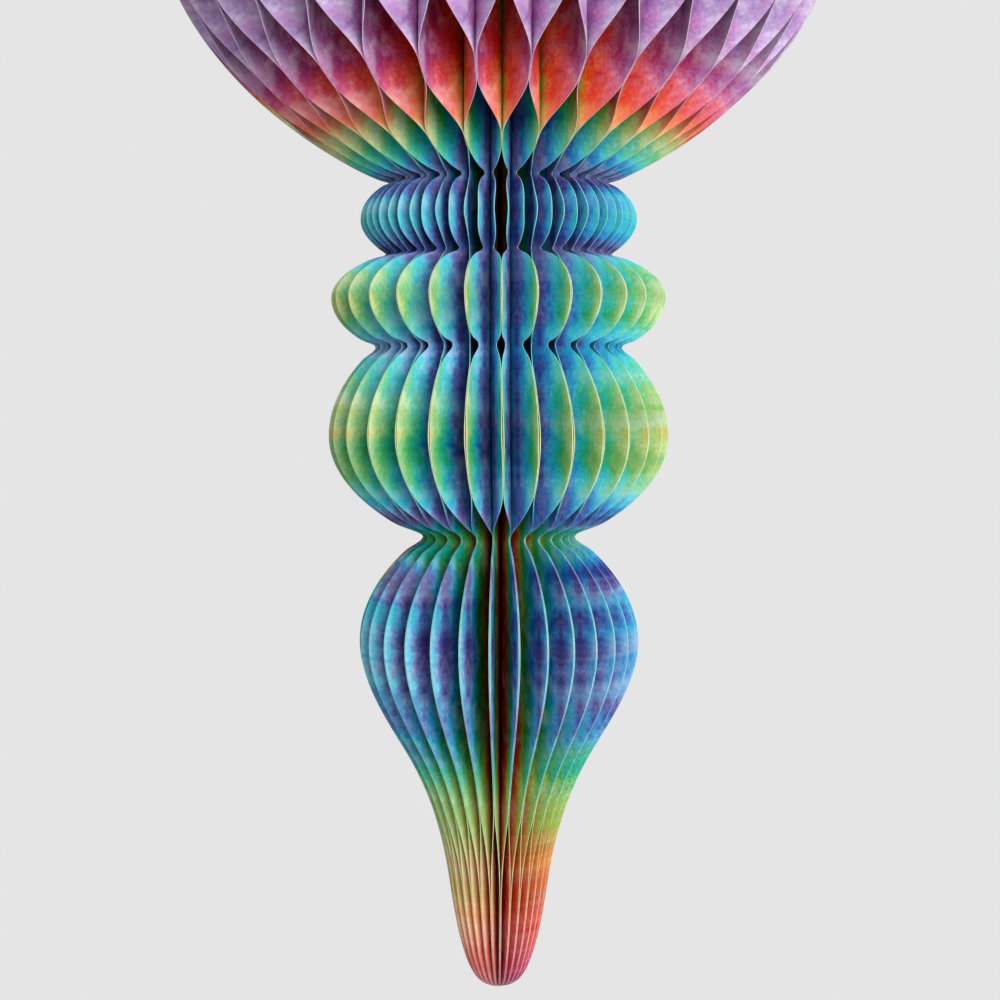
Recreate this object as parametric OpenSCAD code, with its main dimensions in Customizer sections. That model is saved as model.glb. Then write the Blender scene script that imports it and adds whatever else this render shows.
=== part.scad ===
/* [Sheets] */
// Number of die-cut leaves fanned round the spine
leaf_count = 58; // [40:2:58]
// Thickness of one leaf of card
leaf_t = 0.3; // [0.2:0.02:0.36]
// Film of glue between two leaves where they are stuck together
glue_gap = 0.02; // [0.01:0.01:0.06]
// Angle of the seam where the first and last leaf meet, before the leaves slide
seam_angle = -85.8; // [-180:0.1:180]
// Degrees by which the opened leaves have slid round to one side
drift_angle = 3.9; // [0:0.1:5]
// Degrees by which the leaves of both sides have slid towards the front
gather_angle = 3.1; // [0:0.1:5]

/* [Glue strips] */
// Width of the margin glued beside the spine
binding_w = 8; // [7:0.5:10]
// Distance from the axis to the middle of the first glue strip
first_strip_r = 24.5; // [23:0.5:26]
// Distance between the middles of neighbouring strips
strip_pitch = 25; // [22:0.2:26]
// Width of a glue strip
strip_w = 6.6; // [5:0.2:9]

/* [Spine] */
// Wall of the tube of glued binding that the leaves stand on
spine_wall = 0.6; // [0.4:0.1:1]
// Clearance between the binding and the inner edges of the leaves
spine_gap = 0.03; // [0.02:0.01:0.1]

/* [Necks] */
// Height over which the side of a tall lobe eases into a neck
neck_ease_h = 4.5; // [2:0.5:5]
// Height over which the side of the crown eases into its neck
crown_ease_h = 1.8; // [1:0.2:4]

/* [Crown lobe] */
// Radius of the crown at its widest
crown_r = 109; // [103:0.5:119]
// Height of the dome above the widest line
dome_h = 70; // [50:1:100]
// Radius of the small flat at the very top
dome_top_r = 6; // [5:0.5:12]
// Height from the neck under the crown to its widest line
crown_h = 88.5; // [75:0.5:130]
// Radius of the neck under the crown
crown_neck_r = 34.6; // [33:0.1:37]
// Fullness of the crown's side, 0.5 is an ellipse and 1 a parabola
crown_power = 0.83; // [0.5:0.01:1.2]
// Fullness of the dome above the crown
dome_power = 0.5; // [0.4:0.01:1]

/* [Collar lobe] */
// Radius of the collar at its widest
collar_r = 44.2; // [41:0.2:45]
// Height from the collar's widest line to the neck above
collar_up_h = 11.8; // [8:0.1:14]
// Height from the neck below to the collar's widest line
collar_low_h = 11.2; // [8:0.1:14]
// Radius of the neck under the collar
collar_neck_r = 35.9; // [34:0.1:38]
// Fullness of the collar's upper half
collar_up_power = 0.83; // [0.5:0.01:1.2]
// Fullness of the collar's lower half
collar_low_power = 1.08; // [0.5:0.01:1.2]
// Bend of the collar's free rim, from 1 at one neighbour to -1 at the other
collar_rim_ratio = 0.05; // [-0.4:0.05:0.6]

/* [Disc lobe] */
// Radius of the disc at its widest
disc_r = 53.4; // [50:0.2:58]
// Height from the disc's widest line to the neck above
disc_up_h = 13.9; // [11:0.1:18]
// Height from the neck below to the disc's widest line
disc_low_h = 15.5; // [12:0.1:19]
// Radius of the neck under the disc
disc_neck_r = 39.2; // [36:0.1:43]
// Fullness of the disc's side
disc_power = 0.82; // [0.5:0.01:1.2]

/* [Globe lobe] */
// Radius of the globe at its widest
globe_r = 54.2; // [50:0.2:58]
// Height from the globe's widest line to the neck above
globe_up_h = 28.4; // [20:0.2:36]
// Height from the neck below to the globe's widest line
globe_low_h = 32.2; // [24:0.2:40]
// Radius of the neck under the globe
globe_neck_r = 24.2; // [22:0.1:27]
// Fullness of the globe's upper half
globe_up_power = 0.96; // [0.5:0.01:1.2]
// Fullness of the globe's lower half
globe_low_power = 0.86; // [0.5:0.01:1.2]

/* [Drop lobe] */
// Radius of the drop at its widest
drop_r = 44.5; // [41:0.2:45]
// Height from the drop's widest line to the neck above
drop_up_h = 33.4; // [26:0.2:40]
// Fullness of the drop's upper half
drop_power = 0.92; // [0.5:0.01:1.2]
// Height from the turn of the flank to the drop's widest line
flank_h = 33.3; // [28:0.2:40]
// Radius where the flank turns from hollow to full
flank_r = 30.8; // [29:0.2:33]
// Height from the stem to the turn of the flank
hollow_h = 43.2; // [36:0.2:50]
// Slope of the flank at its turn, radius over height
flank_slope = 0.62; // [0.5:0.01:0.7]

/* [Stem and tip] */
// Radius at the top of the stem
stem_r = 15.7; // [14:0.1:17]
// Height of the stem above the tip
stem_h = 33.3; // [30:0.2:40]
// Power of the rounding at the tip, lower is blunter
tip_power = 0.31; // [0.25:0.01:0.4]
// Height above the tip below which each glued pair lies flat together
merge_h = 27; // [20:0.5:29]

/* [Hidden] */
leaf_names = [for (i = [1:leaf_count]) str("leaf_", i < 10 ? "0" : "", i)];

curve_steps = 4;
lobe_steps = 6;
crown_steps = 10;
loft_steps = 3;
cut_over = 1;
most_ease = 0.15;
no_ease = 0;
probe = 0.0001;
least_radius = 0.2;
search_tries = 30;

// Heights above the tip, stacked from the lowest curve to the highest
stem_z = stem_h;
flank_z = stem_z + hollow_h;
drop_z = flank_z + flank_h;
globe_neck_z = drop_z + drop_up_h;
globe_z = globe_neck_z + globe_low_h;
disc_neck_z = globe_z + globe_up_h;
disc_z = disc_neck_z + disc_low_h;
collar_neck_z = disc_z + disc_up_h;
collar_z = collar_neck_z + collar_low_h;
crown_neck_z = collar_z + collar_up_h;
crown_z = crown_neck_z + crown_h;
top_z = crown_z + dome_h;

// Turn of the plane between leaf i and leaf i + 1, with the seam as plane 0
function even_turn(i) = seam_angle + i * 360 / leaf_count;
function slide_at(turn) = drift_angle * (cos(turn) - 1) - gather_angle * sin(turn);
function plane_turn(i) = even_turn(i) + slide_at(even_turn(i));
function leaf_turn(i) = (plane_turn(i) + plane_turn(i - 1)) / 2;
function half_turn(i) = (plane_turn(i) - plane_turn(i - 1)) / 2;

// The leaves stand on the circle where the closest ones just fit side by side
least_half_turn = min([for (i = [1:leaf_count]) half_turn(i)]);
core_r = (leaf_t + glue_gap) / (2 * sin(least_half_turn));
widest_half_turn = max([for (i = [1:leaf_count]) half_turn(i)]);
cut_w = 2 * (crown_r * tan(widest_half_turn) + leaf_t + cut_over);

// Glue strips: strip 0 is the margin at the spine, and their sides alternate
function strip_start(k) = k == 0 ? 0 : first_strip_r + (k - 1) * strip_pitch - strip_w / 2;
function strip_end(k) = k == 0 ? binding_w : strip_start(k) + strip_w;
function strip_side(k) = k % 2 == 0 ? 1 : -1;
function strip_at(r) = r < strip_start(1) ? 0 : 1 + floor((r - strip_start(1)) / strip_pitch);

// Bend of a leaf: 1 where it lies on one neighbour, -1 where it lies on the other
function smooth(u) = u * u * (3 - 2 * u);
function crossing(r, k) = (r - strip_end(k)) / (strip_start(k + 1) - strip_end(k));
function wave_from(r, k) =
    r <= strip_end(k) ? strip_side(k) : strip_side(k) * (1 - 2 * smooth(crossing(r, k)));
wave = function(r) wave_from(r, strip_at(r));

// The collar's rim is free, so from the first corner past the necks it eases to its own bend
function stop_past(r, k) = let (step = (strip_start(k + 1) - strip_end(k)) / curve_steps)
    strip_end(k) + step * ceil((r - strip_end(k)) / step);
rim_start = stop_past(max(crown_neck_r, collar_neck_r), 1);
rim_length = collar_r - rim_start;
rim_slope = (wave(rim_start) - wave(rim_start - probe)) / probe;
function eased(u) = wave(rim_start) + (collar_rim_ratio - wave(rim_start)) * smooth(u)
    + rim_slope * rim_length * u * (1 - u) ^ 2;
rim_wave = function(r) r <= rim_start ? wave(r) : eased(min(1, (r - rim_start) / rim_length));

// The drop's flaps run straight out from the first strip, and a flat leaf keeps one side
flap_wave = function(r) r <= strip_end(1) ? wave(r) : strip_side(1);
flat_wave = function(r) 1;
function closing_wave(share) = function(r) wave(r) * (1 - share) + share;

// Middle line of a leaf in plan and its slope, along a radial line between its neighbours
function offset_at(r, bend, half) = bend(r) * (r * tan(half) - (leaf_t + glue_gap) / (2 * cos(half)));
function slope_at(r, bend, half) =
    (offset_at(r, bend, half) - offset_at(r - probe, bend, half)) / probe;

// Distances from the axis at which the plan of a leaf has a corner
function wave_stops(reach) = let (last = strip_at(reach)) concat(
    [core_r],
    [for (k = [0:last]) each concat(
        k == 0 ? [] : [strip_start(k)],
        [strip_end(k)],
        [for (j = [1:curve_steps - 1])
            strip_end(k) + (strip_start(k + 1) - strip_end(k)) * j / curve_steps]
    )]
);
function plan_stops(reach) = concat([for (r = wave_stops(reach)) if (r < reach) r], [reach]);

// One face of the leaf in plan, half a thickness to the given side of its middle line
function face_point(r, bend, half, side) = let (lean = atan(slope_at(r, bend, half)))
    [r - side * sin(lean) * leaf_t / 2, offset_at(r, bend, half) + side * cos(lean) * leaf_t / 2];
function plan_loop(stops, bend, half) = concat(
    [for (r = stops) face_point(r, bend, half, -1)],
    [for (n = [len(stops) - 1:-1:0]) face_point(stops[n], bend, half, 1)]
);

// Swell of a lobe's side, from u = 0 at its widest line to u = 1 at the neck, where it levels out
function swell(u, full) = (1 - u * u) ^ full;
function eased_swell(t, ease, full) = let (rate = 2 * full * (1 - ease) / (2 - ease))
    swell(1 - ease, full) * t * t * (3 - rate - (2 - rate) * t);
function side_swell(u, full, ease) =
    u <= 1 - ease ? swell(u, full) : eased_swell((1 - u) / ease, ease, full);
function ease_at(half_h) = min(most_ease, neck_ease_h / half_h);

// Cut outline of a leaf as radius against height
function lobe_point(u, neck_z, neck_r, wide_z, wide_r, full, ease) =
    [neck_r + (wide_r - neck_r) * side_swell(u, full, ease), wide_z + (neck_z - wide_z) * u];
function rising(neck_z, neck_r, wide_z, wide_r, full, ease, steps = lobe_steps) = [for (n = [0:steps - 1])
    lobe_point(cos(90 * n / steps), neck_z, neck_r, wide_z, wide_r, full, ease)];
function falling(wide_z, wide_r, neck_z, neck_r, full, ease, steps = lobe_steps) = [for (n = [0:steps - 1])
    lobe_point(sin(90 * n / steps), neck_z, neck_r, wide_z, wide_r, full, ease)];
function tip_radius(z) = stem_r * (z / stem_h) ^ tip_power;
stem_slope = tip_power * stem_r / stem_h;
function blend_radius(u, r0, r1, m0, m1, span) =
    r0 + (r1 - r0) * smooth(u) + span * (m0 * u * (1 - u) ^ 2 - m1 * u * u * (1 - u));
function hollow_radius(u) = blend_radius(u, stem_r, flank_r, stem_slope, flank_slope, hollow_h);
function flank_radius(u) = blend_radius(u, flank_r, drop_r, flank_slope, 0, flank_h);
tip_z = stem_h * (least_radius / stem_r) ^ (1 / tip_power);
tip_points = [for (n = [0:lobe_steps - 1])
    let (z = tip_z + (stem_h - tip_z) * (n / lobe_steps) ^ 3) [tip_radius(z), z]];
hollow_points = [for (n = [0:lobe_steps - 1])
    [hollow_radius(n / lobe_steps), stem_z + hollow_h * n / lobe_steps]];
flank_points = [for (n = [0:lobe_steps - 1])
    [flank_radius(n / lobe_steps), flank_z + flank_h * n / lobe_steps]];
outline = concat(
    [[0, tip_z]],
    tip_points,
    hollow_points,
    flank_points,
    falling(drop_z, drop_r, globe_neck_z, globe_neck_r, drop_power, ease_at(drop_up_h)),
    rising(globe_neck_z, globe_neck_r, globe_z, globe_r, globe_low_power, ease_at(globe_low_h)),
    falling(globe_z, globe_r, disc_neck_z, disc_neck_r, globe_up_power, ease_at(globe_up_h)),
    rising(disc_neck_z, disc_neck_r, disc_z, disc_r, disc_power, ease_at(disc_low_h)),
    falling(disc_z, disc_r, collar_neck_z, collar_neck_r, disc_power, ease_at(disc_up_h)),
    rising(collar_neck_z, collar_neck_r, collar_z, collar_r, collar_low_power, ease_at(collar_low_h)),
    falling(collar_z, collar_r, crown_neck_z, crown_neck_r, collar_up_power, ease_at(collar_up_h)),
    rising(crown_neck_z, crown_neck_r, crown_z, crown_r, crown_power, crown_ease_h / crown_h, crown_steps),
    falling(crown_z, crown_r, top_z, dome_top_r, dome_power, no_ease, crown_steps),
    [[dome_top_r, top_z], [0, top_z]]
);

// Height on the hollow flank where the leaf has narrowed to the inner edge of the first strip
strip_hold = 1;
function narrow_share(low, high, tries) = let (mid = (low + high) / 2)
    tries == 0 ? mid
    : hollow_radius(mid) < strip_start(1) + strip_hold ? narrow_share(mid, high, tries - 1)
    : narrow_share(low, mid, tries - 1);
open_z = stem_z + hollow_h * narrow_share(0, 1, search_tries);

// Straight-sided stretch of a leaf between two heights
module stretch(z0, z1, reach, bend, half) {
    translate([0, 0, z0])
        linear_extrude(height = z1 - z0)
            polygon(plan_loop(plan_stops(reach), bend, half));
}

// Stretch of the stem where the free flap swings from one neighbour to the other
module closing_stretch(z0, z1, half) {
    stops = plan_stops(strip_end(1));
    m = len(stops);
    n = 2 * m;
    loops = [for (k = [0:loft_steps])
        let (share = 1 - smooth(k / loft_steps), z = z0 + (z1 - z0) * k / loft_steps)
            for (p = plan_loop(stops, closing_wave(share), half)) [p[0], p[1], z]];
    sides = [for (k = [0:loft_steps - 1], i = [0:n - 1])
        let (a = k * n + i, b = k * n + (i + 1) % n)
            each [[a, a + n, b], [b, a + n, b + n]]];
    bottom = [for (i = [0:m - 2]) each [[i, i + 1, n - 1 - i], [i + 1, n - 2 - i, n - 1 - i]]];
    top = [for (tri = bottom) [for (v = [2:-1:0]) loft_steps * n + tri[v]]];
    polyhedron(loops, concat(bottom, top, sides));
}

// The whole sheet, waving from one glue strip to the next, before it is cut
module sheet(half) {
    stretch(crown_neck_z, top_z, crown_r + cut_over, wave, half);
    stretch(collar_neck_z, crown_neck_z, collar_r + cut_over, rim_wave, half);
    stretch(globe_neck_z, collar_neck_z, max(disc_r, globe_r) + cut_over, wave, half);
    stretch(open_z, globe_neck_z, drop_r + cut_over, flap_wave, half);
    closing_stretch(merge_h, open_z, half);
    stretch(0, merge_h, strip_end(1), flat_wave, half);
}

// The die's outline, as a bar through the sheet
module die_cut() {
    rotate([90, 0, 0])
        linear_extrude(height = cut_w, center = true)
            polygon(outline);
}

module leaf(i) {
    color("mediumturquoise")
        translate([0, 0, -top_z])
            rotate([0, 0, leaf_turn(i) - 90])
                mirror([0, i % 2, 0])
                    intersection() {
                        die_cut();
                        sheet(half_turn(i));
                    }
}

// Tube of binding glue on which the inner edges of all the leaves stand
module spine_binding() {
    color("ivory")
        translate([0, 0, -top_z])
            difference() {
                cylinder(h = top_z, r = core_r - spine_gap);
                translate([0, 0, -cut_over])
                    cylinder(h = top_z + 2 * cut_over, r = core_r - spine_gap - spine_wall);
            }
}

for (i = [1:leaf_count])
    leaf(i);
spine_binding();
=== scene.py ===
import colorsys
import math

import bpy
import numpy as np
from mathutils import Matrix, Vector
from mathutils.geometry import delaunay_2d_cdt


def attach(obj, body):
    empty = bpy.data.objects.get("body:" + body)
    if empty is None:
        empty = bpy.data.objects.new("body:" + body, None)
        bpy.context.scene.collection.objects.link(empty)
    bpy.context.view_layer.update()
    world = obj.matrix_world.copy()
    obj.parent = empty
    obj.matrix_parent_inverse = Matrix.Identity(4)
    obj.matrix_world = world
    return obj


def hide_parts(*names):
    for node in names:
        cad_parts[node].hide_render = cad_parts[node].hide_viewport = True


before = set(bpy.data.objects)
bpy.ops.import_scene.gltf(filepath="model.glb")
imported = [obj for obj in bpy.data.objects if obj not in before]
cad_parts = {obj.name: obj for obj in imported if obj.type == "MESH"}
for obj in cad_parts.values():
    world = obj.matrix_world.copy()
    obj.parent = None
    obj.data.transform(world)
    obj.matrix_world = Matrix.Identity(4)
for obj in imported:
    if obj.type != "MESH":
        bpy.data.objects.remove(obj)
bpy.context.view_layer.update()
leafNames = sorted(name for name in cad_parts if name.startswith("leaf_"))
leafCount = len(leafNames)
print("frame loaded,", leafCount, "leaves")

mm = 0.001

# How the leaves stand round the spine, in millimetres and degrees
stack = {
    "thickness": 0.3,
    "glueFilm": 0.02,
    "crushedRim": 0.55,        # the die leaves the cut edge thinner
    "facing": -90.0,           # leaf angles are counted from the side that faces the camera
    "seamAngle": -85.8,
    "drift": 3.9,              # leaves slid round towards the seam
    "gather": 3.1,             # leaves closer together on the right
    "lowTwist": 1.25,          # the drop hangs turned by this much
    "twistFrom": 200.0,
    "twistOver": 80.0,
}

# Upright glue strips of one leaf, by distance from the spine
glue = {
    "bindingWidth": 8.0,
    "firstStrip": 24.5,
    "pitch": 25.0,
    "width": 6.6,
    "stripCount": 4,
    "crownShift": 2.0,         # strips sit this much further out in the crown
    "shiftHeight": 6.0,        # height above the crown's neck over which they move out
}

# Die-cut outline from the tip upward
stem = {"radius": 15.7, "height": 33.3, "tipPower": 0.31, "leastRadius": 0.4}
flank = {"hollowHeight": 43.2, "turnRadius": 30.8, "turnSlope": 0.62, "fullHeight": 33.3}
neckRadius = {"globe": 24.2, "disc": 39.2, "collar": 35.9, "crown": 34.6}
lobes = {
    "drop": {"radius": 44.5, "above": 33.4, "fullAbove": 0.92},
    "globe": {"radius": 54.2, "below": 32.2, "above": 28.4, "fullBelow": 0.86, "fullAbove": 0.96},
    "disc": {"radius": 53.4, "below": 15.5, "above": 13.9, "fullBelow": 0.82, "fullAbove": 0.82},
    "collar": {"radius": 44.2, "below": 11.2, "above": 11.8, "fullBelow": 1.08, "fullAbove": 0.83},
    "crown": {"radius": 109.0, "below": 88.5, "above": 70.0, "fullBelow": 0.83, "fullAbove": 0.5},
}
domeTopRadius = 6.0
easing = {"height": 4.5, "mostShare": 0.15, "crownHeight": 1.8}     # sides level out into the necks

# Heights above the tip that follow from the sizes above
height = {"stem": stem["height"]}
height["flank"] = height["stem"] + flank["hollowHeight"]
height["drop"] = height["flank"] + flank["fullHeight"]
height["globeNeck"] = height["drop"] + lobes["drop"]["above"]
height["globe"] = height["globeNeck"] + lobes["globe"]["below"]
height["discNeck"] = height["globe"] + lobes["globe"]["above"]
height["disc"] = height["discNeck"] + lobes["disc"]["below"]
height["collarNeck"] = height["disc"] + lobes["disc"]["above"]
height["collar"] = height["collarNeck"] + lobes["collar"]["below"]
height["crownNeck"] = height["collar"] + lobes["collar"]["above"]
height["crown"] = height["crownNeck"] + lobes["crown"]["below"]
height["top"] = height["crown"] + lobes["crown"]["above"]

# How the free parts of a leaf hang between the glue strips
hang = {
    "mergeHeight": 27.0,       # pairs lie flat together below this
    "openBeyond": 1.0,         # cells are fully open where a leaf reaches this far over the first strip
    "rimBend": 0.05,           # collar rim, between its two neighbours
    "rimSpan": 15.5,           # height over which the collar's slack fades
    "rimCentre": 244.8,
    "peel": 0.3,               # how sharply the sheets part at a glue strip
}

# Size of the triangles that one leaf is cut into
meshing = {
    "stemCurve": 120,          # points of the outline on the stem, each half of the flank, each half lobe
    "tipSpread": 3,            # the stem's points crowd towards the tip
    "flankCurve": 60,
    "lobeCurve": 80,
    "gapSteps": 7,
    "edgeStep": 1.3,
    "crownEdgeStep": 2.2,
    "crownStepFrom": 70.0,
    "lowestRow": 2.0,
    "rowStep": 2.6,
    "crownRowsFrom": 8.0,      # above the crown's neck the rows lie wider apart
    "crownRowStep": 4.2,
    "margin": 0.9,
    "spineRows": 110,
    "weld": 1e-5,              # corners closer than this are one
    "slopeStep": 0.01,         # for the slope of the wave at a corner
}


def smooth(u):
    u = np.clip(u, 0, 1)
    return u * u * (3 - 2 * u)


def planeTurn(i):
    even = stack["seamAngle"] + i * 360 / leafCount
    turn = math.radians(even)
    return even + stack["drift"] * (math.cos(turn) - 1) - stack["gather"] * math.sin(turn)


def stripEdges(k):
    if k == 0:
        return 0.0, glue["bindingWidth"]
    start = glue["firstStrip"] + (k - 1) * glue["pitch"] - glue["width"] / 2
    return start, start + glue["width"]


def waveBend(r):
    bend = np.ones_like(r)
    for k in range(glue["stripCount"]):
        end = stripEdges(k)[1]
        nextStart = stripEdges(k + 1)[0]
        side = 1 if k % 2 == 0 else -1
        share = np.clip((r - end) / (nextStart - end), 0, 1)
        share = share * hang["peel"] + smooth(share) * (1 - hang["peel"])
        bend = np.where(r > end, side * (1 - 2 * share), bend)
    return bend


def blendRadius(z, start, end, slopes):
    (z0, r0), (z1, r1) = start, end
    u = (z - z0) / (z1 - z0)
    slack = slopes[0] * u * (1 - u) ** 2 - slopes[1] * u * u * (1 - u)
    return r0 + (r1 - r0) * smooth(u) + (z1 - z0) * slack


def easeShare(neckZ, wideZ):
    half = abs(neckZ - wideZ)
    if neckZ == height["top"]:
        return 0.0
    if neckZ == height["crownNeck"] and wideZ == height["crown"]:
        return easing["crownHeight"] / half
    return min(easing["mostShare"], easing["height"] / half)


def sideSwell(u, full, ease):
    if u <= 1 - ease:
        return (1 - u * u) ** full
    t = (1 - u) / ease
    rate = 2 * full * (1 - ease) / (2 - ease)
    return (1 - (1 - ease) ** 2) ** full * t * t * (3 - rate - (2 - rate) * t)


def profilePoints():
    points = []

    def addCurve(radiusAt, z0, z1, count, spread=1.0):
        for u in np.linspace(0, 1, count, endpoint=False):
            z = z0 + (z1 - z0) * u ** spread
            points.append((float(radiusAt(z)), z))

    def addHalf(lobe, neckZ, neckR, wideZ, rising, full):
        ease = easeShare(neckZ, wideZ)
        turn = np.linspace(0, math.pi / 2, meshing["lobeCurve"], endpoint=False)
        for u in (np.cos(turn) if rising else np.sin(turn)):
            radius = neckR + (lobe["radius"] - neckR) * sideSwell(u, full, ease)
            points.append((radius, wideZ + (neckZ - wideZ) * u))

    def stemRadius(z):
        return stem["radius"] * (z / stem["height"]) ** stem["tipPower"]

    tipZ = stem["height"] * (stem["leastRadius"] / stem["radius"]) ** (1 / stem["tipPower"])
    addCurve(stemRadius, tipZ, height["stem"], meshing["stemCurve"], meshing["tipSpread"])
    stemSlope = stem["tipPower"] * stem["radius"] / stem["height"]
    stemEnd = (height["stem"], stem["radius"])
    turning = (height["flank"], flank["turnRadius"])
    fullest = (height["drop"], lobes["drop"]["radius"])
    addCurve(lambda z: blendRadius(z, stemEnd, turning, (stemSlope, flank["turnSlope"])),
             height["stem"], height["flank"], meshing["flankCurve"])
    addCurve(lambda z: blendRadius(z, turning, fullest, (flank["turnSlope"], 0)),
             height["flank"], height["drop"], meshing["flankCurve"])
    addHalf(lobes["drop"], height["globeNeck"], neckRadius["globe"], height["drop"], False,
            lobes["drop"]["fullAbove"])
    order = [("globe", "globeNeck", "discNeck", "disc"), ("disc", "discNeck", "collarNeck", "collar"),
             ("collar", "collarNeck", "crownNeck", "crown")]
    for name, lowNeck, highNeck, upperName in order:
        lobe = lobes[name]
        addHalf(lobe, height[lowNeck], neckRadius[name], height[name], True, lobe["fullBelow"])
        addHalf(lobe, height[highNeck], neckRadius[upperName], height[name], False, lobe["fullAbove"])
    crown = lobes["crown"]
    addHalf(crown, height["crownNeck"], neckRadius["crown"], height["crown"], True, crown["fullBelow"])
    addHalf(crown, height["top"], domeTopRadius, height["crown"], False, crown["fullAbove"])
    points.append((domeTopRadius, height["top"]))
    return np.array(points)


profile = profilePoints()


def outlineRadius(z):
    return np.interp(z, profile[:, 1], profile[:, 0])


belowDrop = profile[profile[:, 1] < height["drop"]]
openRadius = stripEdges(1)[0] + hang["openBeyond"]
openHeight = float(np.interp(openRadius, belowDrop[:, 0], belowDrop[:, 1]))
halfTurns = [(planeTurn(i) - planeTurn(i - 1)) / 2 for i in range(1, leafCount + 1)]
coreRadius = (stack["thickness"] + stack["glueFilm"]) / (2 * math.sin(math.radians(min(halfTurns))))


def leafBend(r, z):
    crownShare = smooth((z - height["crownNeck"]) / glue["shiftHeight"])
    bend = waveBend(r - glue["crownShift"] * crownShare)
    heldRadius = stripEdges(1)[1]

    # The collar is too narrow for a second strip, so its rim hangs slack
    rimShare = (r - heldRadius) / (lobes["collar"]["radius"] - heldRadius)
    slackRim = -1 + (1 + hang["rimBend"]) * smooth(rimShare)
    nearCollar = smooth(1 - np.abs(z - hang["rimCentre"]) / hang["rimSpan"])
    bend = np.where(r > heldRadius, bend + (slackRim - bend) * nearCollar, bend)

    # On the drop the flaps stay together beyond the first strip
    onDrop = (z < height["globeNeck"]) & (r > heldRadius)
    bend = np.where(onDrop, -1.0, bend)

    # Towards the tip the pairs close flat
    closing = smooth((openHeight - z) / (openHeight - hang["mergeHeight"]))
    return bend + (1 - bend) * closing


def leafOffset(r, z, half):
    halfGlue = (stack["thickness"] + stack["glueFilm"]) / 2
    return leafBend(r, z) * (r * math.tan(half) - halfGlue / math.cos(half))


def edgeLoop():
    inner = profile[:, 0] > coreRadius
    low, high = np.argmax(inner), len(inner) - 1
    curve = profile[low:high + 1]
    startZ = np.interp(coreRadius, profile[:low + 2, 0], profile[:low + 2, 1])
    curve = np.vstack([[coreRadius, startZ], curve])
    along = np.concatenate([[0], np.cumsum(np.hypot(*np.diff(curve, axis=0).T))])
    crownFrom = np.interp(height["crownNeck"] + meshing["crownStepFrom"], curve[:, 1], along)
    crownCount = int((along[-1] - crownFrom) / meshing["crownEdgeStep"])
    stops = np.concatenate([
        np.linspace(0, crownFrom, int(crownFrom / meshing["edgeStep"]), endpoint=False),
        np.linspace(crownFrom, along[-1], crownCount),
    ])
    outer = np.column_stack([np.interp(stops, along, curve[:, 0]), np.interp(stops, along, curve[:, 1])])
    spineRows = np.linspace(height["top"], startZ, meshing["spineRows"])[:-1]
    spine = np.column_stack([np.full(len(spineRows), coreRadius), spineRows])
    return np.vstack([outer, spine])


def insidePoints():
    columns = []
    for k in range(glue["stripCount"] + 1):
        start, end = stripEdges(k)
        nextStart = stripEdges(k + 1)[0]
        columns += [start, (start + end) / 2, end]
        columns += list(np.linspace(end, nextStart, meshing["gapSteps"], endpoint=False)[1:])
    lowEnd = height["crownNeck"] + meshing["crownRowsFrom"]
    lowRows = np.arange(meshing["lowestRow"], lowEnd, meshing["rowStep"])
    highRows = np.arange(lowRows[-1] + meshing["crownRowStep"], height["top"], meshing["crownRowStep"])
    points = []
    for z in np.concatenate([lowRows, highRows]):
        for r in columns:
            if coreRadius + meshing["margin"] < r < outlineRadius(z) - meshing["margin"]:
                points.append((r, z))
    return np.array(points)


def flatLeaf():
    loop = edgeLoop()
    grid = insidePoints()
    near = np.array([np.min(np.hypot(loop[:, 0] - r, loop[:, 1] - z)) for r, z in grid])
    grid = grid[near > meshing["margin"]]
    points = [Vector(p) for p in np.vstack([loop, grid])]
    count = len(loop)
    rim = [(i, (i + 1) % count) for i in range(count)]
    onlyInside = 1
    made = delaunay_2d_cdt(points, rim, [], onlyInside, meshing["weld"])
    verts = np.array([tuple(p) for p in made[0]])
    tris = np.array([list(f) for f in made[2]])
    return verts, tris


flatVerts, flatTris = flatLeaf()
print("flat leaf:", len(flatVerts), "corners,", len(flatTris), "triangles")


def rimEdges(tris):
    edges = np.vstack([tris[:, [0, 1]], tris[:, [1, 2]], tris[:, [2, 0]]])
    key = np.sort(edges, axis=1)
    _, first, count = np.unique(key, axis=0, return_index=True, return_counts=True)
    return edges[first[count == 1]]


flatRim = rimEdges(flatTris)
onRim = np.zeros(len(flatVerts), dtype=bool)
onRim[flatRim.ravel()] = True


def leafCorners(i):
    half = math.radians(halfTurns[i - 1])
    side = -1 if i % 2 else 1
    r, z = flatVerts[:, 0], flatVerts[:, 1]
    step = meshing["slopeStep"]
    y = side * leafOffset(r, z, half)
    slopeR = side * (leafOffset(r + step, z, half) - leafOffset(r - step, z, half)) / (2 * step)
    slopeZ = side * (leafOffset(r, z + step, half) - leafOffset(r, z - step, half)) / (2 * step)
    normal = np.column_stack([-slopeR, np.ones_like(r), -slopeZ])
    normal /= np.linalg.norm(normal, axis=1)[:, None]
    middle = np.column_stack([r, y, z - height["top"]])
    reach = (np.where(onRim, stack["crushedRim"], 1) * stack["thickness"] / 2)[:, None]
    faces = np.vstack([middle + normal * reach, middle - normal * reach])

    twist = stack["lowTwist"] * smooth((stack["twistFrom"] - z) / stack["twistOver"])
    turn = np.radians((planeTurn(i) + planeTurn(i - 1)) / 2 + stack["facing"] + np.tile(twist, 2))
    x, y = faces[:, 0].copy(), faces[:, 1].copy()
    faces[:, 0] = x * np.cos(turn) - y * np.sin(turn)
    faces[:, 1] = x * np.sin(turn) + y * np.cos(turn)
    return faces * mm


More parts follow.
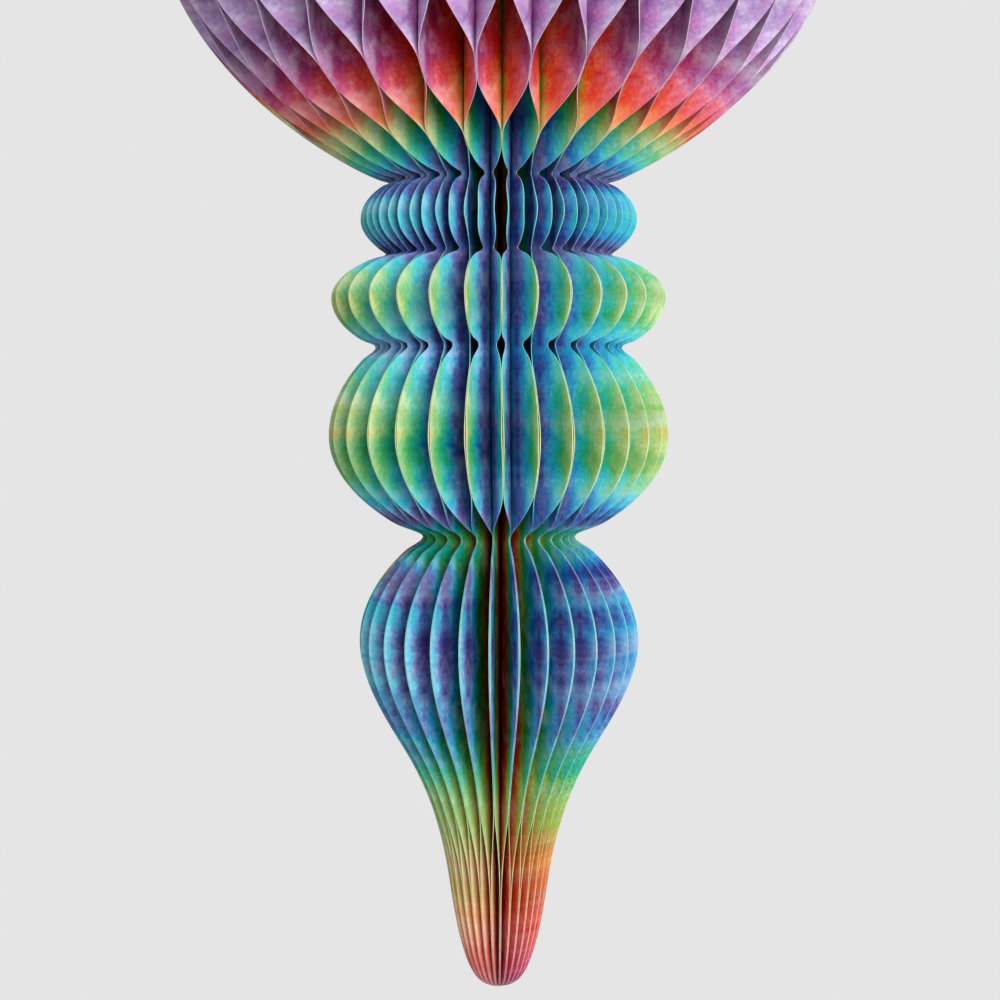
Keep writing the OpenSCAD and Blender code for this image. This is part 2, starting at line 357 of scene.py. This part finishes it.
def markCutEdges(mesh, n):
    ends = np.zeros(2 * len(mesh.edges), dtype=int)
    mesh.edges.foreach_get("vertices", ends)
    ends = ends.reshape(-1, 2)
    rimKeys = {tuple(sorted(pair)) for pair in flatRim.tolist()}
    rimKeys |= {(a + n, b + n) for a, b in rimKeys}
    sharp = np.array([tuple(sorted(pair)) in rimKeys for pair in ends.tolist()])
    mesh.edges.foreach_set("use_edge_sharp", sharp)


def sheetPlaces():
    inset = outlineRadius(flatVerts[:, 1]) - flatVerts[:, 0]
    flat = np.column_stack([flatVerts[:, 0], flatVerts[:, 1], inset]) * mm
    return np.vstack([flat, flat])


def makeLeafMesh(i, name):
    n = len(flatVerts)
    front = flatTris[:, ::-1]
    back = flatTris + n
    a, b = flatRim[:, 1], flatRim[:, 0]
    rim = np.column_stack([b, a, a + n, b + n])
    loops = np.concatenate([front.ravel(), back.ravel(), rim.ravel()])
    sizes = np.concatenate([np.full(2 * len(front), 3), np.full(len(rim), 4)])
    slots = np.concatenate([np.zeros(len(front)), np.ones(len(back)), np.full(len(rim), 2)]).astype(int)
    mesh = bpy.data.meshes.new(name + "_card")
    mesh.vertices.add(2 * n)
    mesh.vertices.foreach_set("co", leafCorners(i).ravel())
    mesh.loops.add(len(loops))
    mesh.loops.foreach_set("vertex_index", loops)
    mesh.polygons.add(len(sizes))
    mesh.polygons.foreach_set("loop_start", np.concatenate([[0], np.cumsum(sizes)[:-1]]))
    mesh.polygons.foreach_set("material_index", slots)
    mesh.polygons.foreach_set("use_smooth", np.ones(len(sizes), dtype=bool))
    mesh.update(calc_edges=True)
    markCutEdges(mesh, n)
    return mesh


def makeLeaf(i, name, materials):
    mesh = makeLeafMesh(i, name)
    for material in materials:
        mesh.materials.append(material)
    sheetPos = mesh.attributes.new("sheetPos", "FLOAT_VECTOR", "POINT")
    sheetPos.data.foreach_set("vector", sheetPlaces().ravel())
    leaf = bpy.data.objects.new(name + "_card", mesh)
    bpy.context.scene.collection.objects.link(leaf)
    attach(leaf, "root")
    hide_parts(name)


# Dyes of the tie-dyed print: millimetres from its fold line, then hue, saturation, value
dyes = {
    "violet": (0, (246, 0.42, 0.62)),
    "indigo": (2.2, (220, 0.51, 0.73)),
    "azure": (4.6, (200, 0.67, 0.84)),
    "turquoise": (7.6, (184, 0.71, 0.81)),
    "seafoam": (10.4, (165, 0.61, 0.78)),
    "mint": (13.4, (129, 0.43, 0.77)),
    "lime": (16, (92, 0.37, 0.78)),
    "primrose": (19.2, (72, 0.41, 0.83)),
    "apricot": (22.6, (28, 0.64, 0.91)),
    "coral": (27, (9, 0.60, 0.89)),
    "rose": (31, (354, 0.57, 0.85)),
    "pink": (35.5, (332, 0.48, 0.78)),
    "mallow": (40, (319, 0.46, 0.70)),
    "orchid": (47, (304, 0.33, 0.70)),
    "lilac": (54, (270, 0.26, 0.72)),
    "lavender": (63, (288, 0.24, 0.71)),
}
dyeReach = 0.075               # metres from the fold line that the dyes cover

# How the dyes ran in the wet paper, in metres and in clouds to the metre
wash = {
    "slowScale": 46.0, "slowDetail": (3, 0.55), "slowRun": 0.0050,
    "quickScale": 190.0, "quickDetail": (5, 0.66), "quickRun": 0.0078,
    "farFrom": 0.025, "farTo": 0.050, "farRun": 2.0,           # far from the fold they ran further
    "depthScale": 90.0, "depthDetail": (5, 0.62), "depthFrom": 0.32, "depthTo": 0.68,
    "thin": 0.60, "thick": 1.50,
    "speckScale": 800.0, "speckDetail": (3, 0.7), "speckDepth": 0.55,
    "bloomScale": 115.0, "bloomDetail": (5, 0.6), "bloomFrom": 0.47, "bloomTo": 0.77,
    "bloomColour": (0.80, 0.78, 0.84),
}

# The fold line bows outward below the globe, between these heights above the tip
crease = {"bowFrom": 0.165, "bowTo": 0.105}

# In the tail the dyes close up into lime, amber and salmon
tail = {
    "top": 0.080, "bottom": 0.056,                             # heights above the tip
    "middle": 0.018, "squeeze": 0.50,                          # towards this distance from the spine
    "calm": 0.45,                                              # the dyes run less there
    "blushFrom": 0.030, "blushTo": 0.003, "blush": 0.004,      # the tip is rosier
}

# Painted light and shade: the dyes are painted thinner at the lit rim and denser and darker deep in from it
# and beside the spine, down to a dark red core of painted shade where the leaves crowd together
deepShade = {
    "sideFrom": 0.002, "sideTo": 0.009,                        # on the spine side of the fold line
    "litRimDensity": -0.25, "innerShadeDensity": 1.2, "darkestShadeAt": 0.034,    # from the rim inward
    "blueFrom": 0.002, "blueTo": 0.007,                        # the blues on the fold stay as they are
    "coreFrom": 0.008, "coreTo": 0.018,                        # distance in from the rim
    "coreInner": 0.0105, "coreOuter": 0.0175,                  # distance from the spine
    "shadeMaroon": (355, 0.88, 0.36),
}


def linear(hue, saturation, value):
    rgb = colorsys.hsv_to_rgb(hue / 360, saturation, value)        # then from sRGB to linear light
    return tuple(c / 12.92 if c <= 0.04045 else ((c + 0.055) / 1.055) ** 2.4 for c in rgb) + (1.0,)


def addNode(tree, kind, place, **settings):
    node = tree.nodes.new(kind)
    node.location = place
    for key, value in settings.items():
        setattr(node, key, value)
    return node


def feed(tree, value, socket):
    if isinstance(value, bpy.types.NodeSocket):
        tree.links.new(value, socket)
    else:
        socket.default_value = value


def addMath(tree, place, operation, *values):
    node = addNode(tree, "ShaderNodeMath", place, operation=operation)
    for value, socket in zip(values, node.inputs):
        feed(tree, value, socket)
    return node.outputs[0]


def addNoise(tree, place, vector, scale, detail, roughness=0.5):
    node = addNode(tree, "ShaderNodeTexNoise", place)
    tree.links.new(vector, node.inputs["Vector"])
    feed(tree, scale, node.inputs["Scale"])
    node.inputs["Detail"].default_value = detail
    node.inputs["Roughness"].default_value = roughness
    return node.outputs["Fac"]


def addRange(tree, place, value, ends, results, soft=True):
    node = addNode(tree, "ShaderNodeMapRange", place)
    node.interpolation_type = "SMOOTHSTEP" if soft else "LINEAR"
    feed(tree, value, node.inputs["Value"])
    for key, number in zip(("From Min", "From Max", "To Min", "To Max"), (*ends, *results)):
        feed(tree, number, node.inputs[key])
    return node.outputs["Result"]


mixSockets = {"first": 6, "second": 7, "result": 2}            # of a Mix node that mixes colours


def addColourMix(tree, place, share, first, second):
    node = addNode(tree, "ShaderNodeMix", place, data_type="RGBA")
    feed(tree, share, node.inputs["Factor"])
    feed(tree, first, node.inputs[mixSockets["first"]])
    feed(tree, second, node.inputs[mixSockets["second"]])
    return node.outputs[mixSockets["result"]]


def newGroup(name, inputs, outputs):
    tree = bpy.data.node_groups.new(name, "ShaderNodeTree")
    for label, value in inputs.items():
        socket = tree.interface.new_socket(name=label, in_out="INPUT", socket_type="NodeSocketFloat")
        socket.default_value = value
    for label, kind in outputs.items():
        tree.interface.new_socket(name=label, in_out="OUTPUT", socket_type=kind)
    given = addNode(tree, "NodeGroupInput", (-1800, 0))
    result = addNode(tree, "NodeGroupOutput", (1400, 0))
    return tree, given.outputs, result.inputs


def addDyeRamp(tree, place, share):
    ramp = addNode(tree, "ShaderNodeValToRGB", place)
    tree.links.new(share, ramp.inputs["Fac"])
    stops = ramp.color_ramp.elements
    stops.remove(stops[-1])
    for n, (reach, colour) in enumerate(dyes.values()):
        at = reach * mm / dyeReach
        stop = stops[0] if n == 0 else stops.new(at)
        stop.position = at
        stop.color = linear(*colour)
    return ramp.outputs["Color"]


def addFoldLine(tree, up, given):
    bowEnds = (crease["bowFrom"], crease["bowTo"])
    bow = addRange(tree, (-1800, 900), up, bowEnds, (0, given["Fold Bow"]))
    return addMath(tree, (-1600, 900), "ADD", bow, given["Fold Line"])


# Where a point lies in the clouds, the same on both sides of the fold
def addCloudPlace(tree, radius, up, fold, given):
    across = addMath(tree, (-1400, 700), "SUBTRACT", radius, fold)
    mirrored = addMath(tree, (-1200, 700), "ABSOLUTE", across)
    cloudUp = addMath(tree, (-1200, 500), "DIVIDE", up, given["Cloud Height"])
    cloud = addNode(tree, "ShaderNodeCombineXYZ", (-1000, 700))
    for value, socket in zip((mirrored, cloudUp, given["Seed"]), cloud.inputs):
        tree.links.new(value, socket)
    return cloud.outputs["Vector"]


# The distance from the spine that a point takes its dye from
def addInkedRadius(tree, radius, inTail, given):
    away = addMath(tree, (-1400, -200), "SUBTRACT", radius, tail["middle"])
    squeezed = addMath(tree, (-1200, -200), "MULTIPLY_ADD", away, tail["squeeze"], given["Tail Centre"])
    tailStep = addMath(tree, (-1000, -200), "SUBTRACT", squeezed, radius)
    return addMath(tree, (-800, -200), "MULTIPLY_ADD", tailStep, inTail, radius)


# How far along the row of dyes a point lies: further towards the spine, and at the tip
def addReach(tree, across, up, given):
    beyond = addMath(tree, (-400, -400), "ADD", across, given["Close From"])
    beyond = addMath(tree, (-200, -400), "MINIMUM", beyond, 0)
    closer = addMath(tree, (0, -400), "MULTIPLY", beyond, given["Closer"])
    reach = addMath(tree, (-200, -200), "ABSOLUTE", across)
    reach = addMath(tree, (200, -200), "SUBTRACT", reach, closer)
    blush = addRange(tree, (200, -600), up, (tail["blushFrom"], tail["blushTo"]), (0, tail["blush"]), False)
    return addMath(tree, (400, -200), "ADD", reach, blush)


def addRun(tree, place, inTail, wetter):
    slow = addNoise(tree, (-800, 500), place, wash["slowScale"], *wash["slowDetail"])
    quick = addNoise(tree, (-800, 700), place, wash["quickScale"], *wash["quickDetail"])
    slowRun = addRange(tree, (-600, 500), slow, (0, 1), (-wash["slowRun"], wash["slowRun"]), False)
    quickRun = addRange(tree, (-600, 700), quick, (0, 1), (-wash["quickRun"], wash["quickRun"]), False)
    run = addMath(tree, (-400, 600), "ADD", slowRun, quickRun)
    calm = addRange(tree, (-600, 300), inTail, (0, 1), (1, tail["calm"]), False)
    run = addMath(tree, (-200, 600), "MULTIPLY", run, calm)
    return addMath(tree, (0, 600), "MULTIPLY", run, wetter)


# Painted light and shade: thinner dye at the lit rim, denser and darker dye deep in the cells and beside the
# spine, where shade falls
def addPaintedShade(tree, across, reach, inset, given):
    shadeDensities = (deepShade["litRimDensity"], deepShade["innerShadeDensity"])
    shadeDepth = addRange(tree, (-200, 800), inset, (0, deepShade["darkestShadeAt"]), shadeDensities, False)
    spineShadeEnds = (-deepShade["sideFrom"], -deepShade["sideTo"])
    side = addRange(tree, (-200, 1150), across, spineShadeEnds, (0, given["Spine Density"]))
    shadeDepth = addMath(tree, (0, 800), "ADD", shadeDepth, side)
    return addRange(tree, (200, 800), reach, (deepShade["blueFrom"], deepShade["blueTo"]), (0, shadeDepth))


# Thin and thick dye, down to the specks of the paper
def addDepth(tree, place, shadeDepth, inTail, given):
    patches = addNoise(tree, (-200, 1000), place, wash["depthScale"], *wash["depthDetail"])
    patchEnds = (wash["depthFrom"], wash["depthTo"])
    depth = addRange(tree, (0, 1000), patches, patchEnds, (wash["thin"], wash["thick"]), False)
    speck = addNoise(tree, (-200, 1250), place, wash["speckScale"], *wash["speckDetail"])
    speckEnds = (-wash["speckDepth"], wash["speckDepth"])
    speckDepth = addRange(tree, (0, 1250), speck, (0, 1), speckEnds, False)
    depth = addMath(tree, (200, 1000), "ADD", depth, speckDepth)
    depth = addMath(tree, (400, 1000), "MULTIPLY", depth, given["Depth"])
    # Painted shade: the dye is made deeper and darker where the cells lie in shade
    depth = addMath(tree, (550, 1000), "MULTIPLY_ADD", depth, shadeDepth, depth)
    # Painted light and shade: the tail dye is thinner on the lit recto and thicker on the shaded verso,
    # partly their print
    tailDyeAndLight = addRange(tree, (400, 800), inTail, (0, 1), (1, given["Tail Depth"]), False)
    return addMath(tree, (600, 900), "MULTIPLY", depth, tailDyeAndLight)


def addBlooms(tree, place, wetter, colour, given):
    bloomNoise = addNoise(tree, (200, 1500), place, wash["bloomScale"], *wash["bloomDetail"])
    bloomed = addRange(tree, (400, 1500), bloomNoise, (wash["bloomFrom"], wash["bloomTo"]), (0, 1))
    share = addMath(tree, (600, 1500), "MULTIPLY", bloomed, given["Bloom"])
    share = addMath(tree, (700, 1300), "MULTIPLY", share, wetter)
    return addColourMix(tree, (900, 200), share, colour, (*wash["bloomColour"], 1))


# Painted shade: a dark red core painted deep in from the rim near the spine, where the leaves crowd together
# in shade
def addShadeCore(tree, radius, inset, colour):
    inner = addRange(tree, (600, -300), radius, (deepShade["coreInner"], deepShade["coreOuter"]), (1, 0))
    core = addRange(tree, (800, -300), inset, (deepShade["coreFrom"], deepShade["coreTo"]), (0, inner))
    return addColourMix(tree, (1100, 200), core, colour, linear(*deepShade["shadeMaroon"]))


# What each print may set for itself, with the usual values
washInputs = {
    "Seed": 0.0, "Fold Line": 0.035, "Fold Bow": 0.0, "Cloud Height": 1.0, "Bloom": 0.5, "Depth": 1.0,
    # Spine Density sets how much painted shade lies beside the spine
    "Tail Depth": 1.0, "Tail Centre": 0.019, "Close From": 0.013, "Closer": 0.6, "Spine Density": 0.5,
}


def makeDyeWash():
    tree, given, result = newGroup("dyeWash", washInputs, {"Colour": "NodeSocketColor"})
    sheet = addNode(tree, "ShaderNodeAttribute", (-1800, 300), attribute_name="sheetPos")
    split = addNode(tree, "ShaderNodeSeparateXYZ", (-1600, 300))
    tree.links.new(sheet.outputs["Vector"], split.inputs["Vector"])
    radius, up, inset = split.outputs

    # The dyes and their clouds lie mirrored about the line where the sheet was folded
    fold = addFoldLine(tree, up, given)
    place = addCloudPlace(tree, radius, up, fold, given)
    inTail = addRange(tree, (-1400, 200), up, (tail["bottom"], tail["top"]), (1, 0))
    inked = addInkedRadius(tree, radius, inTail, given)
    across = addMath(tree, (-400, -200), "SUBTRACT", inked, fold)
    reach = addReach(tree, across, up, given)

    # Their edges run, further where the crown was wetter
    wetter = addRange(tree, (-600, 100), reach, (wash["farFrom"], wash["farTo"]), (1, wash["farRun"]))
    run = addRun(tree, place, inTail, wetter)
    share = addMath(tree, (200, 200), "DIVIDE", addMath(tree, (0, 200), "ADD", reach, run), dyeReach)

    # Depth of the dye with its painted shade, pale blooms over it, and the core of painted shade
    shadeDepth = addPaintedShade(tree, across, reach, inset, given)
    layered = addNode(tree, "ShaderNodeGamma", (700, 200))
    tree.links.new(addDyeRamp(tree, (400, 200), share), layered.inputs["Color"])
    tree.links.new(addDepth(tree, place, shadeDepth, inTail, given), layered.inputs["Gamma"])
    colour = addBlooms(tree, place, wetter, layered.outputs["Color"], given)
    tree.links.new(addShadeCore(tree, radius, inset, colour), result["Colour"])
    return tree


# Surface of the card, shared by the print, its cut edges and the binding
tooth = {
    "feltScale": 700.0, "feltDetail": (3, 0.6),
    "fibreScale": 2400.0, "fibreDetail": (2, 0.7), "fibreShare": 0.35,
    "smoothAt": 0.3, "roughAt": 0.7, "smoothest": 0.58, "roughest": 0.74,
    "gloss": 0.1, "bump": 0.12, "bumpDistance": 0.0002,
}


def makePaperTooth():
    inputs = {"Felt Scale": tooth["feltScale"], "Fibre Scale": tooth["fibreScale"]}
    outputs = {"Height": "NodeSocketFloat", "Roughness": "NodeSocketFloat"}
    tree, given, result = newGroup("paperTooth", inputs, outputs)
    place = addNode(tree, "ShaderNodeTexCoord", (-1400, 0)).outputs["Object"]
    felt = addNoise(tree, (-1000, 100), place, given["Felt Scale"], *tooth["feltDetail"])
    fibre = addNoise(tree, (-1000, -150), place, given["Fibre Scale"], *tooth["fibreDetail"])
    felted = addMath(tree, (-700, 100), "MULTIPLY", felt, 1 - tooth["fibreShare"])
    raised = addMath(tree, (-500, 0), "MULTIPLY_ADD", fibre, tooth["fibreShare"], felted)
    tree.links.new(raised, result["Height"])
    roughEnds = (tooth["smoothest"], tooth["roughest"])
    rough = addRange(tree, (-500, -250), felt, (tooth["smoothAt"], tooth["roughAt"]), roughEnds, False)
    tree.links.new(rough, result["Roughness"])
    return tree


dyeWash = makeDyeWash()
paperTooth = makePaperTooth()


def addGroup(tree, place, group, **values):
    node = addNode(tree, "ShaderNodeGroup", place, node_tree=group)
    for key, value in values.items():
        node.inputs[key.replace("_", " ")].default_value = value
    return node


def startMaterial(name):
    material = bpy.data.materials.new(name)
    material.use_nodes = True
    tree = material.node_tree
    shader = tree.nodes["Principled BSDF"]
    shader.inputs["Specular IOR Level"].default_value = tooth["gloss"]
    surface = addGroup(tree, (-700, -300), paperTooth, Felt_Scale=tooth["feltScale"],
                       Fibre_Scale=tooth["fibreScale"])
    tree.links.new(surface.outputs["Roughness"], shader.inputs["Roughness"])
    bump = addNode(tree, "ShaderNodeBump", (-300, -300))
    bump.inputs["Strength"].default_value = tooth["bump"]
    bump.inputs["Distance"].default_value = tooth["bumpDistance"]
    tree.links.new(surface.outputs["Height"], bump.inputs["Height"])
    tree.links.new(bump.outputs["Normal"], shader.inputs["Normal"])
    return material, tree, shader


# Both faces carry the same bands, with their own clouds, fold, depth and tail; the covers fold further out.
# The recto's thin tail dye and the verso's thick one are partly their print and partly painted light and
# shade: the lit left half of the tip paler, the shaded right half darker
prints = {
    "rectoPrint": {"Seed": 1.37, "Fold_Line": 0.0354, "Fold_Bow": 0.0006, "Cloud_Height": 1.15,
                   "Bloom": 0.32, "Depth": 1.0, "Tail_Depth": 0.46, "Tail_Centre": 0.0193,
                   "Close_From": 0.013, "Closer": 0.4, "Spine_Density": 0.8},
    "versoPrint": {"Seed": 7.29, "Fold_Line": 0.0356, "Fold_Bow": 0.0019, "Cloud_Height": 1.05,
                   "Bloom": 0.30, "Depth": 1.06, "Tail_Depth": 1.1, "Tail_Centre": 0.0207,
                   "Close_From": 0.0125, "Closer": 1.1, "Spine_Density": 0.5},
    "coverPrint": {"Seed": 0.83, "Fold_Line": 0.0505, "Bloom": 0.15, "Tail_Centre": 0.026, "Closer": 1.0},
}


def makePrint(name):
    material, tree, shader = startMaterial(name)
    washed = addGroup(tree, (-700, 100), dyeWash, **prints[name])
    tree.links.new(washed.outputs["Colour"], shader.inputs["Base Color"])
    return material


# The card shows pale at its cut edges, tinted where dye ran over
edge = {"cream": (0.72, 0.72, 0.62), "tint": 0.8, "Seed": 1.37, "Bloom": 0.1, "Depth": 0.72}


def makeCutEdge():
    material, tree, shader = startMaterial("cutEdge")
    washed = addGroup(tree, (-900, 100), dyeWash, Seed=edge["Seed"], Bloom=edge["Bloom"],
                      Depth=edge["Depth"])
    colour = addColourMix(tree, (-500, 100), edge["tint"], (*edge["cream"], 1), washed.outputs["Colour"])
    tree.links.new(colour, shader.inputs["Base Color"])
    return material


# Creased paper strip that holds the leaves along the spine
binding = {
    "pale": (0.80, 0.77, 0.69), "worn": (0.66, 0.61, 0.50),
    "patchScale": 120.0, "patchDetail": (4, 0.6),
}


def makeBinding():
    material, tree, shader = startMaterial("bindingPaper")
    place = addNode(tree, "ShaderNodeTexCoord", (-1100, 100)).outputs["Object"]
    patch = addNoise(tree, (-900, 100), place, binding["patchScale"], *binding["patchDetail"])
    colour = addColourMix(tree, (-500, 100), patch, (*binding["pale"], 1), (*binding["worn"], 1))
    tree.links.new(colour, shader.inputs["Base Color"])
    return material


recto, verso, cover = (makePrint(name) for name in prints)
cutEdge = makeCutEdge()
for n, name in enumerate(leafNames, start=1):
    first = cover if n == leafCount else recto      # the two outer sheets meet at the seam
    second = cover if n == 1 else verso
    makeLeaf(n, name, [first, second, cutEdge])
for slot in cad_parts["spine_binding"].material_slots:
    slot.material = makeBinding()
print("leaves made and printed")

# Camera at the photograph's distance and height, lens as its perspective
view = {
    "distance": 0.768, "height": -0.2304, "side": 0.0004,
    "sensor": 36.0, "focal": 2.4,      # lens length in sensor widths
    "shiftDown": 0.092,
}


def addCamera():
    data = bpy.data.cameras.new("camera")
    data.sensor_width = view["sensor"]
    data.lens = view["sensor"] * view["focal"]
    data.shift_y = -view["shiftDown"]
    camera = bpy.data.objects.new("camera", data)
    camera.location = (view["side"], -view["distance"], view["height"])
    camera.rotation_euler = (math.pi / 2, 0, 0)
    bpy.context.scene.collection.objects.link(camera)
    bpy.context.scene.camera = camera


# Softboxes: place from the middle of the ornament, size and power
studio = {
    "key": {"at": (0.50, -1.10, 0.30), "size": (0.9, 0.9), "watts": 17.0},
    "fill": {"at": (-1.0, -0.75, 0.0), "size": (0.8, 1.2), "watts": 2.7},
    "rim": {"at": (1.1, -0.2, 0.1), "size": (0.7, 1.2), "watts": 4.0},
}
aimHeight = -0.24
backdrop = {"grey": 0.783, "ambient": 0.28}


def addLight(name, spec):
    data = bpy.data.lights.new(name, "AREA")
    data.shape = "RECTANGLE"
    data.size, data.size_y = spec["size"]
    data.energy = spec["watts"]
    light = bpy.data.objects.new(name, data)
    light.location = Vector(spec["at"]) + Vector((0, 0, aimHeight))
    light.rotation_euler = (-Vector(spec["at"])).to_track_quat("-Z", "Y").to_euler()
    light.visible_camera = False
    bpy.context.scene.collection.objects.link(light)


def addWorld():
    world = bpy.data.worlds.new("studioGrey")
    bpy.context.scene.world = world
    world.use_nodes = True
    tree = world.node_tree
    path = addNode(tree, "ShaderNodeLightPath", (-900, 0))
    seen = addMath(tree, (-700, 0), "MAXIMUM", path.outputs["Is Camera Ray"], path.outputs["Is Glossy Ray"])
    seen = addMath(tree, (-500, 0), "MAXIMUM", seen, path.outputs["Is Transmission Ray"])
    grey = (*[backdrop["grey"]] * 3, 1)
    ambient = (*[backdrop["ambient"]] * 3, 1)
    colour = addColourMix(tree, (-300, 0), seen, ambient, grey)
    tree.links.new(colour, tree.nodes["Background"].inputs["Color"])


# Pale floor well below the tip, fading into the backdrop at its rim
floor = {
    "height": -0.80, "radius": 1.3, "segments": 96, "fadeFrom": 0.75,
    "pale": (0.80, 0.79, 0.77), "roughness": 0.9,
}


def addFloor():
    turns = [2 * math.pi * n / floor["segments"] for n in range(floor["segments"])]
    corners = [(floor["radius"] * math.cos(t), floor["radius"] * math.sin(t), floor["height"]) for t in turns]
    mesh = bpy.data.meshes.new("floor")
    mesh.from_pydata(corners, [], [list(range(floor["segments"]))])
    piece = bpy.data.objects.new("floor", mesh)
    bpy.context.scene.collection.objects.link(piece)
    material = bpy.data.materials.new("floorPaper")
    material.use_nodes = True
    tree = material.node_tree
    shader = tree.nodes["Principled BSDF"]
    shader.inputs["Roughness"].default_value = floor["roughness"]
    shader.inputs["Base Color"].default_value = (*floor["pale"], 1)
    place = addNode(tree, "ShaderNodeTexCoord", (-900, 0)).outputs["Object"]
    flat = addNode(tree, "ShaderNodeVectorMath", (-700, 0), operation="MULTIPLY")
    tree.links.new(place, flat.inputs[0])
    flat.inputs[1].default_value = (1, 1, 0)
    away = addNode(tree, "ShaderNodeVectorMath", (-500, 0), operation="LENGTH")
    tree.links.new(flat.outputs["Vector"], away.inputs[0])
    fade = addRange(tree, (-300, 0), away.outputs["Value"], (floor["fadeFrom"], floor["radius"]), (1, 0))
    tree.links.new(fade, shader.inputs["Alpha"])
    mesh.materials.append(material)


addCamera()
for name, spec in studio.items():
    addLight(name, spec)
addWorld()
addFloor()
bpy.context.scene.view_settings.view_transform = "Standard"
print("studio set")
